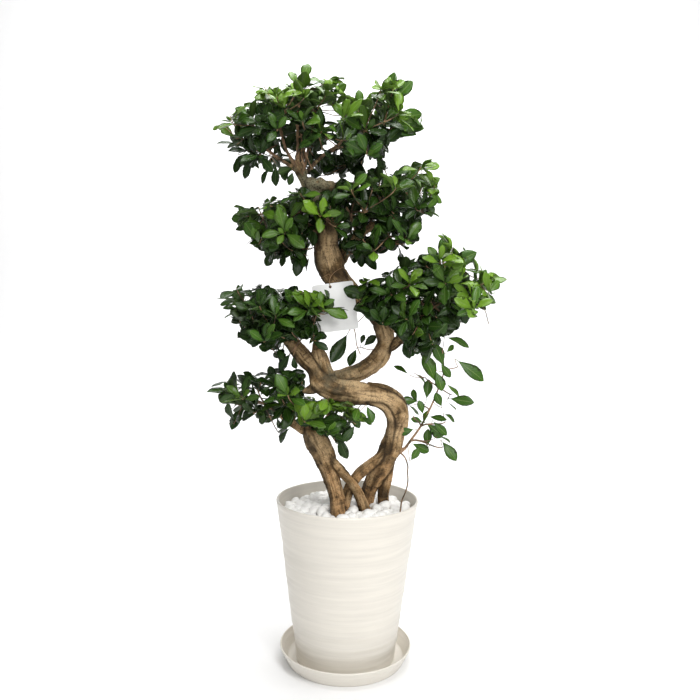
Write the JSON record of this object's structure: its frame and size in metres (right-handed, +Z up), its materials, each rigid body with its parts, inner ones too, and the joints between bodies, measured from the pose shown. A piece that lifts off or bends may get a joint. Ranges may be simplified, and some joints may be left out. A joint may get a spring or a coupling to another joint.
{
  "type": "potted chinese banyan",
  "caption": "Potted Chinese banyan (Ficus microcarpa): winding bare trunk on aerial roots with leafy pads, in a tapered white pot with saucer and white pebbles.",
  "frame": {"origin": "centre of the saucer's flat underside, on the pot's axis", "axes": "+Z up along the pot's axis, -Y towards the front from which the tag faces, +X to the right"},
  "size_m": [0.5182, 0.2674, 1.0603],
  "materials": {
    "white_plastic": "satin",
    "soil": "matte",
    "white_stone": "matte",
    "bark": "matte",
    "leaf": "satin",
    "card": "matte",
    "string": "matte"
  },
  "bodies": {
    "root": {"saucer": "white_plastic", "pot": "white_plastic", "soil": "soil", "pebbles": "white_stone", "trunk": "bark", "tag": "card", "tag_string": "string", "top_left": "leaf", "top_left_upper": "leaf", "top_middle": "leaf", "top_front": "leaf", "top_right": "leaf", "top_far_right": "leaf", "top_back": "leaf", "top_back_right": "leaf", "second_left": "leaf", "second_left_low": "leaf", "second_middle_left": "leaf", "second_middle": "leaf", "second_right": "leaf", "second_right_upper": "leaf", "second_right_low": "leaf", "second_back": "leaf", "second_back_left": "leaf", "left_outer": "leaf", "left_middle": "leaf", "left_back": "leaf", "left_low": "leaf", "left_inner": "leaf", "right_top": "leaf", "right_outer": "leaf", "right_inner": "leaf", "right_front": "leaf", "right_shoot": "leaf", "right_low": "leaf", "right_back": "leaf", "right_back_low": "leaf", "low_left": "leaf", "low_middle": "leaf", "low_back": "leaf", "low_inner": "leaf", "side_sprig": "leaf"}
  },
  "joints": []
}
